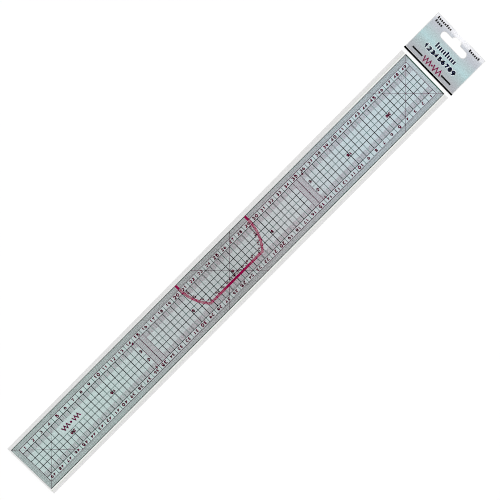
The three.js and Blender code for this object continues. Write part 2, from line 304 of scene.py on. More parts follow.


# Light that one surface of a sheet lets through, along the ruler: mint at the zero end, neutral in
# the middle and faintly blue at the header end. Over the sheet's own faint tint, this drift along the
# ruler is painted reflected light.
SHEET_TINTS_AND_REFLECTION_DRIFT = [
    (0.2, (0.919, 0.965, 0.961, 1)),
    (0.36, (0.916, 0.937, 0.941, 1)),
    (0.5, (0.894, 0.911, 0.913, 1)),
    (0.64, (0.928, 0.941, 0.948, 1)),
    (0.82, (0.930, 0.969, 0.983, 1)),
]
FILM_TINT = (0.945, 0.944, 0.944, 1)
FLAT_FILM_TINT = (0.930, 0.929, 0.929, 1)
# Painted highlight: the film is left all but untinted where its bend would mirror light
BEND_HIGHLIGHT_TINT = (0.998, 1.0, 0.999, 1)
WELD_TINT = (0.885, 0.91, 0.86, 1)

# The film across the sleeve, in millimetres beyond the ruler's edge: a painted highlight where it
# bends down, then the thin weld along the foot of the bend
BEND_HIGHLIGHT_AND_WELD_TINTS = [
    (0.1, FILM_TINT),
    (0.35, BEND_HIGHLIGHT_TINT),
    (1.3, BEND_HIGHLIGHT_TINT),
    (1.45, WELD_TINT),
    (1.8, WELD_TINT),
    (1.95, FILM_TINT),
]

# How far past the ruler's header end the film's painted highlight comes to full strength, in
# millimetres
END_HIGHLIGHT_REACH = 0.35

# The shares of the ruler's length between which the upper edge's painted bend highlight and weld come
# in
UPPER_BEND_HIGHLIGHT_SPAN = (0.78, 0.88)


# Painted reflected light: the sheet's tint drifts in colour and brightness along the ruler
def sheet_tint(tree):
    low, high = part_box("ruler_front_sheet")
    return ramp(tree, along(tree, "X", low.x, high.x), SHEET_TINTS_AND_REFLECTION_DRIFT)


def past_end(tree):
    """A factor that is 1 beyond the ruler's header end."""
    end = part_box("ruler_front_sheet")[1].x
    return along(tree, "X", end, end + END_HIGHLIGHT_REACH * MM)


def bend_ramp(tree, side):
    """The film's tint along Y beyond the ruler's lower (-1) or upper (1) edge, with the bend's painted
    highlight and the weld.
    """
    low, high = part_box("ruler_front_sheet")
    edge = high.y if side > 0 else low.y
    reach = BEND_HIGHLIGHT_AND_WELD_TINTS[-1][0]
    across = along(tree, "Y", edge, edge + side * reach * MM)
    return ramp(tree, across, [(distance / reach, color) for distance, color in BEND_HIGHLIGHT_AND_WELD_TINTS])


def front_film_tint(tree):
    """Painted highlight on the bent film, and the weld, along the whole lower edge, the upper edge
    near the header, and the end.
    """
    low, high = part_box("ruler_front_sheet")
    start, full = (low.x + share * (high.x - low.x) for share in UPPER_BEND_HIGHLIGHT_SPAN)
    near_header = along(tree, "X", start, full)
    upper = blend_colors(tree, near_header, FILM_TINT, bend_ramp(tree, 1))
    in_upper_half = maths(tree, "GREATER_THAN", along(tree, "Y", low.y, high.y), 0.5)
    both = blend_colors(tree, in_upper_half, bend_ramp(tree, -1), upper)
    return blend_colors(tree, past_end(tree), both, BEND_HIGHLIGHT_TINT)


def back_film_tint(tree):
    """The film behind the ruler, with a painted highlight in the gap between the ruler's end and the
    fold.
    """
    return blend_colors(tree, past_end(tree), FLAT_FILM_TINT, BEND_HIGHLIGHT_TINT)


# The share of light mirrored head-on by an outer film, and by what lies flat against another
OPEN_GLOSS = 0.012
COVERED_GLOSS = 0.002
SHEET_SURFACE = {"roughness": 0.08, "ripple_scale": 60, "ripple_depth": 0.02 * MM}
FILM_SURFACE = {"roughness": 0.1, "ripple_scale": 140, "ripple_depth": 0.03 * MM}

sheet_plastic = clear_material("clear_sheet", sheet_tint, COVERED_GLOSS, **SHEET_SURFACE)
film_plastic = clear_material("clear_film", FILM_TINT, OPEN_GLOSS, **FILM_SURFACE)
# Front film with painted highlights at its bends
front_film = clear_material("front_film", front_film_tint, OPEN_GLOSS, **FILM_SURFACE)
# Back film with a painted highlight past the ruler's end
back_film = clear_material("back_film", back_film_tint, COVERED_GLOSS, **FILM_SURFACE)
flat_film = clear_material("flat_film", FLAT_FILM_TINT, COVERED_GLOSS, **FILM_SURFACE)
# Header film with the painted glare of its creases
creased_glare_film = clear_material("creased_glare_film", FILM_TINT, OPEN_GLOSS, **FILM_SURFACE,
                              glare=notch_fan)


# The card

# Its print by the distance from the fold in millimetres: grey, teal and then lavender, with a
# white rim
CARD_COLORS = [
    (0.0, srgb(173, 173, 179)),
    (7.7, srgb(176, 181, 186)),
    (15.7, srgb(174, 192, 194)),
    (21.7, srgb(181, 210, 213)),
    (27.7, srgb(181, 199, 202)),
    (34.7, srgb(188, 193, 201)),
    (39.2, srgb(198, 202, 209)),
    (41.4, srgb(233, 234, 238)),
]
CARD_GRAIN_SCALE = 2500
CARD_GRAIN_DETAIL = 4.0
CARD_GRAIN_SHADES = [(0.35, shade(WHITE, 0.94)), (0.65, WHITE)]
CARD_ROUGHNESS = 0.4
CARD_BUMP = 0.01 * MM


def card_material():
    material, tree = shader_tree("printed_card")
    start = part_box("header_back_film")[0].x
    reach = CARD_COLORS[-1][0]
    stops = [(distance / reach, color) for distance, color in CARD_COLORS]
    color = ramp(tree, along(tree, "X", start, start + reach * MM), stops)
    fibre = grain(tree, CARD_GRAIN_SCALE, CARD_GRAIN_DETAIL)
    speck = ramp(tree, fibre, CARD_GRAIN_SHADES)
    shader = add_node(tree, "ShaderNodeBsdfPrincipled", {
        "Base Color": blend_colors(tree, 1.0, color, speck, blend_type="MULTIPLY"),
        "Roughness": CARD_ROUGHNESS,
        "Normal": bump(tree, fibre, CARD_BUMP),
    })
    finish_tree(tree, shader.outputs["BSDF"])
    return material


printed_card = card_material()


# Flat printed solids

class Prisms:
    """Closed flat solids, collected to become one mesh."""

    def __init__(self):
        self.points = []
        self.faces = []

    def add(self, points, faces):
        first = len(self.points)
        self.points.extend(points)
        self.faces.extend(tuple(first + corner for corner in face) for face in faces)

    def plate(self, outline, floor, height):
        """A flat solid over an outline that runs anticlockwise."""
        count = len(outline)
        points = [(x, y, z) for z in (floor, floor + height) for x, y in outline]
        faces = [tuple(reversed(range(count))), tuple(range(count, 2 * count))]
        for i in range(count):
            j = (i + 1) % count
            faces.append((i, j, count + j, count + i))
        self.add(points, faces)

    def ribbon(self, right, left, floor, height, closed):
        """A band between two rows of points, on the right and the left of its run."""
        count = len(left)
        rows = ((right, floor), (left, floor), (right, floor + height), (left, floor + height))
        points = [(x, y, z) for row, z in rows for x, y in row]

        def at(row, i):
            return row * count + i % count

        faces = []
        for i in range(count if closed else count - 1):
            j = i + 1
            faces.append((at(0, i), at(1, i), at(1, j), at(0, j)))
            faces.append((at(2, i), at(2, j), at(3, j), at(3, i)))
            faces.append((at(0, i), at(0, j), at(2, j), at(2, i)))
            faces.append((at(1, i), at(3, i), at(3, j), at(1, j)))
        if not closed:
            last = count - 1
            faces.append((at(0, 0), at(2, 0), at(3, 0), at(1, 0)))
            faces.append((at(0, last), at(1, last), at(3, last), at(2, last)))
        self.add(points, faces)


SHARPEST_MITRE = 0.5


def sides_of(line, width, closed):
    """The points half a width to the right and to the left of a line, mitred at its corners."""
    points = [Vector(point) for point in line]
    count = len(points)
    right, left = [], []
    for i, point in enumerate(points):
        headings = []
        if i > 0 or closed:
            headings.append((point - points[i - 1]).normalized())
        if i < count - 1 or closed:
            headings.append((points[(i + 1) % count] - point).normalized())
        heading = sum(headings, Vector((0, 0))).normalized()
        mitre = max(heading.dot(headings[0]), SHARPEST_MITRE)
        across = Vector((-heading.y, heading.x)) * width / 2 / mitre
        right.append(point - across)
        left.append(point + across)
    return right, left


OVAL_STEP = 15


def oval(x, y, across, tall, start=0, end=360):
    """Points round an oval of half sizes across and tall, by angles in degrees from +X."""
    steps = round(abs(end - start) / OVAL_STEP)
    turns = [math.radians(turn) for turn in spread(start, end, steps)]
    return [(x + across * math.cos(turn), y + tall * math.sin(turn)) for turn in turns]


# Each figure as the lines that draw it, in a box one wide and one tall
FIGURE_LINES = {
    "0": [oval(0.5, 0.5, 0.5, 0.5)],
    "1": [[(0.2, 0.78), (0.6, 1), (0.6, 0)]],
    "2": [oval(0.5, 0.7, 0.48, 0.3, 160, -32) + [(0, 0), (1, 0)]],
    "3": [oval(0.46, 0.76, 0.42, 0.24, 150, -66) + oval(0.46, 0.27, 0.52, 0.27, 66, -150)],
    "4": [[(0.74, 0), (0.74, 1), (0, 0.3), (1, 0.3)]],
    "5": [[(0.92, 1), (0.16, 1), (0.1, 0.56)] + oval(0.46, 0.33, 0.52, 0.33, 120, -150)],
    "6": [oval(0.5, 0.32, 0.5, 0.32), oval(0.66, 0.32, 0.66, 0.68, 180, 84)],
    "7": [[(0, 1), (1, 1), (0.35, 0)]],
    "8": [oval(0.5, 0.76, 0.42, 0.24), oval(0.5, 0.27, 0.5, 0.27)],
    "9": [oval(0.5, 0.68, 0.5, 0.32), oval(0.34, 0.68, 0.66, 0.68, 0, -96)],
}

# A figure's width, the gap to the next and its stroke, as shares of its height
FIGURE_ASPECT = 0.84
FIGURE_GAP = 0.13
FIGURE_STROKE = 0.28

# A line whose ends lie within this share of its stroke runs round
CLOSED_GAP = 0.1
DOT_STEPS = 16


class Ink(Prisms):
    """One layer of print, drawn in millimetres from an origin."""

    def __init__(self, origin, floor, height):
        super().__init__()
        self.origin = Vector(origin)
        self.floor = floor
        self.height = height

    def place(self, point):
        return self.origin + Vector(point) * MM

    def line(self, points, width, closed=False):
        right, left = sides_of([self.place(point) for point in points], width * MM, closed)
        self.ribbon(right, left, self.floor, self.height, closed)

    def patch(self, u0, u1, y0, y1):
        corners = [(u0, y0), (u1, y0), (u1, y1), (u0, y1)]
        self.plate([self.place(corner) for corner in corners], self.floor, self.height)

    def dot(self, centre, radius):
        turns = [2 * math.pi * i / DOT_STEPS for i in range(DOT_STEPS)]
        middle = Vector(centre)
        rim = [middle + radius * Vector((math.cos(turn), math.sin(turn))) for turn in turns]
        self.plate([self.place(point) for point in rim], self.floor, self.height)

    def number(self, text, centre, tall, turn=0, stroke=FIGURE_STROKE, growth=0.0):
        """Figures centred on a point, turned anticlockwise by an angle in degrees. The stroke is a
        share of the height, and growth widens it for a halo."""
        width = stroke * tall
        box = Vector((tall * FIGURE_ASPECT - width, tall - width))
        advance = tall * (FIGURE_ASPECT + FIGURE_GAP)
        swing = Matrix.Rotation(math.radians(turn), 2)
        for i, character in enumerate(text):
            middle = Vector(((i - (len(text) - 1) / 2) * advance, 0))
            for line in FIGURE_LINES[character]:
                points = [middle + Vector(((x - 0.5) * box.x, (y - 0.5) * box.y)) for x, y in line]
                closed = (points[0] - points[-1]).length < CLOSED_GAP * width
                path = points[:-1] if closed else points
                turned = [Vector(centre) + swing @ point for point in path]
                self.line(turned, width + growth, closed)


def zigzag(start, end, middle, tall, stitches):
    """A zigzag's corners, as places along its run and across it."""
    step = (end - start) / stitches
    return [(start + i * step, middle + tall / 2 * (-1) ** i) for i in range(stitches + 1)]


def mesh_object(name, points, faces, material, smooth=False):
    mesh = bpy.data.meshes.new(name)
    mesh.from_pydata(points, [], faces)
    mesh.materials.append(material)
    mesh.update()
    if smooth:
        mesh.shade_smooth()
    piece = bpy.data.objects.new(name, mesh)
    bpy.context.scene.collection.objects.link(piece)
    return piece


def add_print(name, ink, material, body, slot, *replaced):
    """Makes a layer of print a piece on a body, in place of the named nodes, if any."""
    piece = mesh_object(name, ink.points, ink.faces, material)
    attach(piece, body)
    if replaced:
        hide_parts(*replaced)


def repaint(node, material):
    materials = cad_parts[node].data.materials
    materials.clear()
    materials.append(material)


# The ruler's print

sheet_low, sheet_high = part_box("ruler_front_sheet")
LENGTH = round((sheet_high.x - sheet_low.x) / MM)
HALF = round((sheet_high.y - sheet_low.y) / MM) / 2
RULER_ORIGIN = (sheet_low.x, (sheet_low.y + sheet_high.y) / 2)

# It lies between the sheets in layers, so that lines which cross don't share a height
print_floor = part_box("grid_print")[0].z
print_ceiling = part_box("protractor_print")[1].z
PRINT_LAYERS = 10
LAYER_FILL = 0.7
LAYER_CLEARANCE = 0.15


def ruler_ink(layer):
    """An empty layer of print, counted from the back."""
    pitch = (print_ceiling - print_floor) / PRINT_LAYERS
    floor = print_floor + (layer + LAYER_CLEARANCE) * pitch
    return Ink(RULER_ORIGIN, floor, pitch * LAYER_FILL)


# The edge scales fill the margin. The blocks of fine ticks lie inside the long lines at BLOCK, and
# the figures stand outside them.
MARGIN = 5
CENTIMETRE = 10
BLOCK = 15
INNER = HALF - MARGIN

# A plain window in the grid
WINDOW_SPAN = (40, 70)
WINDOW_FLOOR = 0
WINDOW_TOP = 10

# The bands of the two cross scales
BAND_CENTRES = (150, LENGTH - 150)
BAND_HALF = 5
BAND_REACH = 15

CROSS_CENTRES = (HALF, LENGTH / 2, LENGTH - HALF)

MARGIN_LINE = 0.1
RIM_LINE = 0.6
END_RIM_LINE = 1.0
ZERO_RIM_LINE = 0.2
FRAME_LINE = 0.5
CM_LINE = 0.68
HALF_CM_LINE = 0.48
LONG_LINE = 0.56
MIDDLE_LINE = 0.44
BLOCK_TICK = 0.13
CROSS_LINE = 0.3


def in_band(u):
    return any(abs(u - centre) < BAND_HALF for centre in BAND_CENTRES)


def margin_ticks():
    """Millimetre ticks square to all four edges, cut off at the corner diagonals."""
    ink = ruler_ink(0)
    for u in range(1, LENGTH):
        reach = min(MARGIN, u, LENGTH - u)
        for side in (-1, 1):
            ink.line([(u, side * HALF), (u, side * (HALF - reach))], MARGIN_LINE)
    for step in range(1, int(2 * HALF)):
        y = step - HALF
        reach = min(MARGIN, step, 2 * HALF - step)
        ink.line([(0, y), (reach, y)], MARGIN_LINE)
        ink.line([(LENGTH - reach, y), (LENGTH, y)], MARGIN_LINE)
    add_print("margin_ticks", ink, edge_ink, "ruler", "green_ink")


def margin_tint():
    """The even grey that the margins' millimetre lines give from further away. The header end
    shows paler, and goes without."""
    ink = ruler_ink(4)
    ink.patch(0, LENGTH, INNER, HALF)
    ink.patch(0, LENGTH, -HALF, -INNER)
    ink.patch(0, MARGIN, -INNER, INNER)
    add_print("margin_tint", ink, sheer_edge_ink, "ruler", "green_ink")


def ring(ink, inset, width):
    """A line round the ruler, an inset inside its edges."""
    y = HALF - inset
    corners = [(inset, -y), (LENGTH - inset, -y), (LENGTH - inset, y), (inset, y)]
    ink.line(corners, width, closed=True)


def margin_rings():
    """Millimetre lines along the edges."""
    ink = ruler_ink(1)
    for inset in range(1, MARGIN):
        ring(ink, inset, MARGIN_LINE)
    add_print("margin_lines", ink, edge_ink, "ruler", "green_ink")


def rims():
    """The lines at the cut edges: even along both sides, wide at the header end and thin at zero."""
    ends, sides = ruler_ink(3), ruler_ink(1)
    for u, width in ((LENGTH - END_RIM_LINE / 2, END_RIM_LINE), (ZERO_RIM_LINE / 2, ZERO_RIM_LINE)):
        ends.line([(u, -HALF), (u, HALF)], width)
    for y in (HALF - RIM_LINE / 2, RIM_LINE / 2 - HALF):
        sides.line([(0, y), (LENGTH, y)], RIM_LINE)
    add_print("end_rim_line", ends, rim_ink, "ruler", "green_ink")
    add_print("rim_line", sides, rim_ink, "ruler", "green_ink")


def stretches(u, reach):
    """The parts of a line across the ruler that the plain window leaves."""
    if WINDOW_SPAN[0] < u < WINDOW_SPAN[1]:
        return [(reach, WINDOW_TOP), (WINDOW_FLOOR, -reach)]
    return [(reach, -reach)]


def cross_lines():
    """The lines across the ruler: heavy at each centimetre and thin between."""
    heavy, thin = ruler_ink(2), ruler_ink(2)
    for u in range(CENTIMETRE, LENGTH, CENTIMETRE):
        if in_band(u):
            continue
        for top, bottom in stretches(u, BLOCK):
            heavy.line([(u, bottom), (u, top)], CM_LINE)
    for u in range(MARGIN + CENTIMETRE, LENGTH - MARGIN, CENTIMETRE):
        for top, bottom in stretches(u, INNER):
            thin.line([(u, bottom), (u, top)], HALF_CM_LINE)
    add_print("centimetre_lines", heavy, dark_ink, "ruler", "green_ink", "grid_print")
    add_print("half_centimetre_lines", thin, green_ink, "ruler", "green_ink")


def spans_between(gaps):
    """What is left of the grid's length outside some gaps."""
    start = MARGIN
    spans = []
    for low, high in sorted(gaps):
        spans.append((start, low))
        start = high
    spans.append((start, LENGTH - MARGIN))
    return spans


def long_lines():
    """The lines along the ruler, and the frame at the foot of the edge scales."""
    ink, middle, rim = ruler_ink(3), ruler_ink(3), ruler_ink(3)
    bands = [(centre - BAND_HALF, centre + BAND_HALF) for centre in BAND_CENTRES]
    rows = ((BLOCK, []), (-BLOCK, []), (MARGIN, [*bands, WINDOW_SPAN]), (-MARGIN, bands))
    for y, gaps in rows:
        for low, high in spans_between(gaps):
            ink.line([(low, y), (high, y)], LONG_LINE)
    for low, high in spans_between(bands):
        middle.line([(low, 0), (high, 0)], MIDDLE_LINE)
    ring(rim, MARGIN, FRAME_LINE)
    add_print("long_lines", ink, dark_ink, "ruler", "green_ink")
    add_print("middle_line", middle, green_ink, "ruler", "green_ink")
    add_print("frame_line", rim, plum_ink, "ruler", "green_ink")


def block_ticks():
    """Millimetre ticks in the blocks inside the figures, and along the bands of the cross scales."""
    ink = ruler_ink(4)
    for u in range(MARGIN + 1, LENGTH - MARGIN):
        if u % (CENTIMETRE // 2) == 0 or in_band(u):
            continue
        for side in (-1, 1):
            ink.line([(u, side * BLOCK), (u, side * (BLOCK - MARGIN))], BLOCK_TICK)
    for centre in BAND_CENTRES:
        for y in range(-BAND_REACH, BAND_REACH + 1):
            ink.line([(centre - BAND_HALF, y), (centre + BAND_HALF, y)], BLOCK_TICK)
    add_print("block_ticks", ink, block_ink, "ruler", "magenta_ink")


def block_tint():
    """The even tint under the blocks and the bands of the cross scales."""
    ink = ruler_ink(0)
    start = MARGIN
    for end in [*(centre - BAND_HALF for centre in BAND_CENTRES), LENGTH - MARGIN]:
        for low in (BLOCK - MARGIN, -BLOCK):
            ink.patch(start, end, low, low + MARGIN)
        start = end + 2 * BAND_HALF
    for centre in BAND_CENTRES:
        ink.patch(centre - BAND_HALF, centre + BAND_HALF, -BAND_REACH, BAND_REACH)
    add_print("block_tint", ink, sheer_block_ink, "ruler", "magenta_ink")


def band_lines():
    """The cross scales' middle line and sides."""
    for centre, name in zip(BAND_CENTRES, ("left", "right")):
        ink = ruler_ink(5)
        ink.line([(centre, -BAND_REACH), (centre, BAND_REACH)], CM_LINE)
        for side in (-1, 1):
            u = centre + side * BAND_HALF
            ink.line([(u, -BAND_REACH), (u, BAND_REACH)], HALF_CM_LINE)
        add_print(f"{name}_cross_scale", ink, plum_ink, "ruler", "magenta_ink",
                  f"{name}_cross_scale_print")


def bias_crosses():
    """The 45 degree crosses at both ends and in the middle."""
    rising, falling = ruler_ink(5), ruler_ink(6)
    for centre in CROSS_CENTRES:
        rising.line([(centre - HALF, -HALF), (centre + HALF, HALF)], CROSS_LINE)
        falling.line([(centre - HALF, HALF), (centre + HALF, -HALF)], CROSS_LINE)
    add_print("rising_bias_lines", rising, plum_ink, "ruler", "magenta_ink",
              "left_bias_cross_print")
    add_print("falling_bias_lines", falling, plum_ink, "ruler", "magenta_ink",
              "right_bias_cross_print")


# The protractor: a half ring whose round is cut off by a straight floor

PROTRACTOR_RADIUS = 45
PROTRACTOR_FLOOR = 35
PROTRACTOR_CENTRE = Vector((LENGTH / 2, INNER))
PROTRACTOR_INSETS = (0.2, 2.1)
PROTRACTOR_STEP = 2
PROTRACTOR_LINE = 0.4
PROTRACTOR_TICK = 0.54
PROTRACTOR_LABEL_STEP = 10
PROTRACTOR_LABEL_GAP = 1.7
PROTRACTOR_LABEL_TALL = 2.0


def ray(degrees):
    """The direction from the protractor's centre: 0 towards the zero end and 90 straight down."""
    turn = math.radians(degrees)
    return Vector((-math.cos(turn), -math.sin(turn)))


def protractor_point(degrees, inset):
    """Where a ray meets the protractor's outline, an inset inside its edge."""
    heading = ray(degrees)
    radius = PROTRACTOR_RADIUS - inset
    depth = PROTRACTOR_FLOOR - MARGIN - inset
    down = -heading.y
    reach = radius if down <= 0 else min(radius, depth / down)
    return PROTRACTOR_CENTRE + heading * reach


def protractor_outline():
    """Two lines round the ring of ticks, up to the ruler's edge."""
    ink = ruler_ink(7)
    for inset in PROTRACTOR_INSETS:
        turns = range(0, HALF_TURN + 1, PROTRACTOR_STEP)
        points = [protractor_point(degrees, inset) for degrees in turns]
        start, end = points[0].copy(), points[-1].copy()
        start.y = end.y = HALF
        ink.line([start, *points, end], PROTRACTOR_LINE)
    add_print("protractor_outline", ink, magenta_ink, "ruler", "magenta_ink", "protractor_print")


def protractor_ticks():
    """A tick at every degree, and half-millimetre ones beside the ruler's edge scale."""
    ink = ruler_ink(8)
    for degrees in range(1, HALF_TURN):
        ends = [protractor_point(degrees, inset) for inset in PROTRACTOR_INSETS]
        ink.line(ends, PROTRACTOR_TICK)
    for step in range(1, 2 * MARGIN):
        y = HALF - step / 2
        for side in (-1, 1):
            near, far = (LENGTH / 2 + side * (PROTRACTOR_RADIUS - inset)
                         for inset in PROTRACTOR_INSETS)
            ink.line([(near, y), (far, y)], PROTRACTOR_TICK)
    add_print("protractor_degrees", ink, magenta_ink, "ruler", "magenta_ink")


def protractor_figures():
    """Every tenth degree, inside the ring and turned with its ray."""
    ink = ruler_ink(9)
    inset = PROTRACTOR_INSETS[1] + PROTRACTOR_LABEL_GAP
    for degrees in range(PROTRACTOR_LABEL_STEP, HALF_TURN, PROTRACTOR_LABEL_STEP):
        spot = protractor_point(degrees, inset)
        ink.number(str(degrees), spot, PROTRACTOR_LABEL_TALL, turn=degrees - QUARTER_TURN)
    add_print("protractor_figures", ink, figure_ink, "ruler", "magenta_ink")


# The ruler's figures

LARGE_EVERY = 5
FIGURE_TALL = 3.0
FIVES_TALL = 3.5
FIGURE_ROW = INNER - MARGIN / 2

CENTRE_TALL = 3.1
CENTRE_STROKE = 0.36
CENTRE_OFFSETS = range(-20, 21, 5)
CENTRE_ROW = -MARGIN / 2
PROTRACTOR_SHIFT = 1.6

BAND_FIGURES = 4
BAND_FIGURE_GAP = 2.4


def edge_figures(ink):
    """The centimetre numbers: upright along the protractor's edge, and turned round below."""
    last = LENGTH // CENTIMETRE
    for count in range(1, last):
        tall = FIVES_TALL if count % LARGE_EVERY == 0 else FIGURE_TALL
        ink.number(str(count), (count * CENTIMETRE, FIGURE_ROW), tall)
        ink.number(str(last - count), (count * CENTIMETRE, -FIGURE_ROW), tall, turn=HALF_TURN)


def centre_figures(ink):
    """Centimetres from the middle, left out at the cross scales. Those inside the protractor stand
    beside their lines."""
    for offset in CENTRE_OFFSETS:
        u = LENGTH / 2 + offset * CENTIMETRE
        if in_band(u):
            continue
        shift = PROTRACTOR_SHIFT if abs(offset) <= LARGE_EVERY else 0
        ink.number(str(abs(offset)), (u + shift, CENTRE_ROW), CENTRE_TALL, HALF_TURN, CENTRE_STROKE)


def band_figures(ink):
    """The cross scales' numbers, on the outer side of each."""
    for centre, side in zip(BAND_CENTRES, (-1, 1)):
        for count in range(1, BAND_FIGURES + 1):
            y = (count - (BAND_FIGURES + 1) / 2) * CENTIMETRE
            ink.number(str(count), (centre + side * (BAND_HALF + BAND_FIGURE_GAP), y), CENTRE_TALL)


def figures():
    ink = ruler_ink(9)
    edge_figures(ink)
    centre_figures(ink)
    band_figures(ink)
    add_print("figures", ink, figure_ink, "ruler", "magenta_ink")


WINDOW_STITCH_SPAN = (44.5, 65.5)
WINDOW_STITCH_TALL = 3.6
WINDOW_STITCH_WIDTH = 1.2
WINDOW_STITCHES = 5
WINDOW_KNOT_RADIUS = 1.1
WINDOW_KNOT_GAP = 2.2 * WINDOW_KNOT_RADIUS


def window_stitches():
    """Two runs of zigzag stitches in the plain window, with a round knot between them."""
    ink = ruler_ink(9)
    start, end = WINDOW_STITCH_SPAN
    centre = (start + end) / 2
    middle = (WINDOW_FLOOR + WINDOW_TOP) / 2
    for low, high in ((start, centre - WINDOW_KNOT_GAP), (centre + WINDOW_KNOT_GAP, end)):
        corners = zigzag(low, high, middle, WINDOW_STITCH_TALL, WINDOW_STITCHES)
        ink.line(corners, WINDOW_STITCH_WIDTH)
    ink.dot((centre, middle), WINDOW_KNOT_RADIUS)
    add_print("window_stitches", ink, stitch_ink, "ruler", "magenta_ink")


SHEET_EDGE = 0.12 * MM
SHEET_EDGE_STEPS = 2


def dress_sheet(node):
    repaint(node, sheet_plastic)
    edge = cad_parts[node].modifiers.new("softened_edge", "BEVEL")
    edge.width = SHEET_EDGE
    edge.segments = SHEET_EDGE_STEPS


margin_ticks()
margin_tint()
margin_rings()
rims()
cross_lines()
long_lines()
block_ticks()
block_tint()
band_lines()
bias_crosses()
protractor_outline()
protractor_ticks()
protractor_figures()
figures()
window_stitches()
dress_sheet("ruler_front_sheet")
dress_sheet("ruler_back_sheet")


# The film

FILM_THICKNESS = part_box("sleeve_back_film")[1].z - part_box("sleeve_back_film")[0].z


def smooth_step(share):
    held = min(max(share, 0.0), 1.0)
    return held * held * (3 - 2 * held)


def spread_through(stops, steps):
    """The places through a row of stops, in a number of even steps to each next stop."""
    places = [stops[0]]
    for start, end, count in zip(stops, stops[1:], steps):
        places += spread(start, end, count)[1:]
    return places


def grid_surface(name, rows, material):
    """A smooth surface through rows of points of one length."""
    count = len(rows[0])
    points = [point for row in rows for point in row]
    faces = []
    for i in range(len(rows) - 1):
        for j in range(count - 1):
            corner = i * count + j
            faces.append((corner, corner + count, corner + count + 1, corner + 1))
    return mesh_object(name, points, faces, material, smooth=True)


def thicken(piece, thickness):
    """Gives a surface its thickness, upwards."""
    solidify = piece.modifiers.new("thickness", "SOLIDIFY")
    solidify.thickness = thickness
    solidify.offset = 1
    solidify.use_even_offset = True


END_REACH = 0.1 * MM


def plan_edge(node):
    """The lowest and highest Y of a node's outline at an X, for sides that run straight."""
    points = [vert.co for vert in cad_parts[node].data.vertices]
    low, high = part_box(node)
    near, far = ([point.y for point in points if abs(point.x - x) < END_REACH]
                 for x in (low.x, high.x))

    def at(x):
        share = (x - low.x) / (high.x - low.x)
        return [edge(near) + share * (edge(far) - edge(near)) for edge in (min, max)]
    return at


SHOULDER_GAP = 0.25 * MM
TENT_RUN = 1.45 * MM
END_SEAM = 0.4 * MM
STEPS_ALONG = (126, 12)
STEPS_ACROSS = (3, 10, 20, 10, 3)
RIPPLE = 0.04 * MM
RIPPLE_SCALES = (45, 90)


def ripple(x, y):
    return RIPPLE * noise.noise(Vector((x * RIPPLE_SCALES[0], y * RIPPLE_SCALES[1], 0)))


def sleeve_front():
    """The sleeve's front film: flat over the ruler, drawn down round it to the film behind."""
    back_low, back_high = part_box("sleeve_back_film")
    edge_at = plan_edge("sleeve_back_film")
    seat = back_high.z
    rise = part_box("sleeve_front_panel")[0].z - seat
    shoulder_x = sheet_high.x + SHOULDER_GAP
    shoulder_y = sheet_high.y + SHOULDER_GAP
    foot_y = shoulder_y + TENT_RUN
    run_x = back_high.x - END_SEAM - shoulder_x

    def height(x, y):
        side = smooth_step(1 - (abs(y) - shoulder_y) / TENT_RUN)
        end = smooth_step(1 - (x - shoulder_x) / run_x)
        level = side * end
        lift = abs(ripple(x, y)) if level < 1 else ripple(x, y)
        return seat + rise * level + lift

    rows = []
    for x in spread_through((back_low.x, shoulder_x, back_high.x), STEPS_ALONG):
        low_y, high_y = edge_at(x)
        stops = (low_y, -foot_y, -shoulder_y, shoulder_y, foot_y, high_y)
        rows.append([(x, y, height(x, y)) for y in spread_through(stops, STEPS_ACROSS)])
    piece = grid_surface("sleeve_front_film", rows, front_film)
    thicken(piece, FILM_THICKNESS)
    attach(piece, "sleeve")
    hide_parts("sleeve_front_panel", "sleeve_upper_wall", "sleeve_lower_wall",
                "sleeve_end_wall", "sleeve_upper_seam", "sleeve_lower_seam", "sleeve_end_seam")


FOLD_STEPS_ALONG = 10
FOLD_STEPS_ACROSS = 12


def fold_film():
    """The web of film between the sleeve and the header, built flat."""
    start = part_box("sleeve_back_film")[1].x
    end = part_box("header_back_film")[0].x
    ys = spread(*plan_edge("sleeve_back_film")(start), FOLD_STEPS_ACROSS)
    rows = [[(x, y, FILM_THICKNESS / 2) for y in ys] for x in spread(start, end, FOLD_STEPS_ALONG)]
    piece = grid_surface("fold_film", rows, film_plastic)
    thicken(piece, FILM_THICKNESS)
    depsgraph = bpy.context.evaluated_depsgraph_get()
    piece.data = bpy.data.meshes.new_from_object(piece.evaluated_get(depsgraph))
    piece.modifiers.clear()
    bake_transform(piece)


FACE_CLEARANCE = 0.004 * MM


def draw_in(node):
    """Draws a solid's faces in a little, so that none coincides with a neighbour's face."""
    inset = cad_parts[node].modifiers.new("clearance", "DISPLACE")
    inset.strength = -FACE_CLEARANCE
    inset.mid_level = 0


sleeve_front()
fold_film()
repaint("sleeve_back_film", back_film)
repaint("header_back_film", flat_film)
repaint("header_front_film", creased_glare_film)
repaint("header_card", printed_card)
repaint("fold_bar_print", black_ink)
draw_in("header_card")
draw_in("header_front_film")


# The header's print, on the face of the card

CARD_ORIGIN = (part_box("header_back_film")[0].x, 0)
CARD_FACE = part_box("header_card")[1].z
CARD_INK = 0.01 * MM
CARD_INK_GAP = 0.004 * MM
READ_ACROSS = -QUARTER_TURN

RULE_AT = 6.3
RULE_WIDTH = 1.6
RULE_SPANS = ((25.7, 13.2), (-11.3, -23.2))

STITCH_AT = 6.4
STITCH_TALL = 5.0
STITCH_WIDTH = 1.3
STITCH_COUNT = 5
STITCH_SPANS = ((11.5, 2.4), (-0.4, -10.4))
KNOT_AT = 1.0
KNOT_RADIUS = 1.0

CARD_FIGURES = "123456789"
CARD_FIGURE_AT = 15.7
CARD_FIGURE_TALL = 4.8
CARD_FIGURE_STROKE = 0.33
CARD_FIGURE_START = 17.6
CARD_FIGURE_PITCH = 4.4
HALO_GROWTH = 0.8

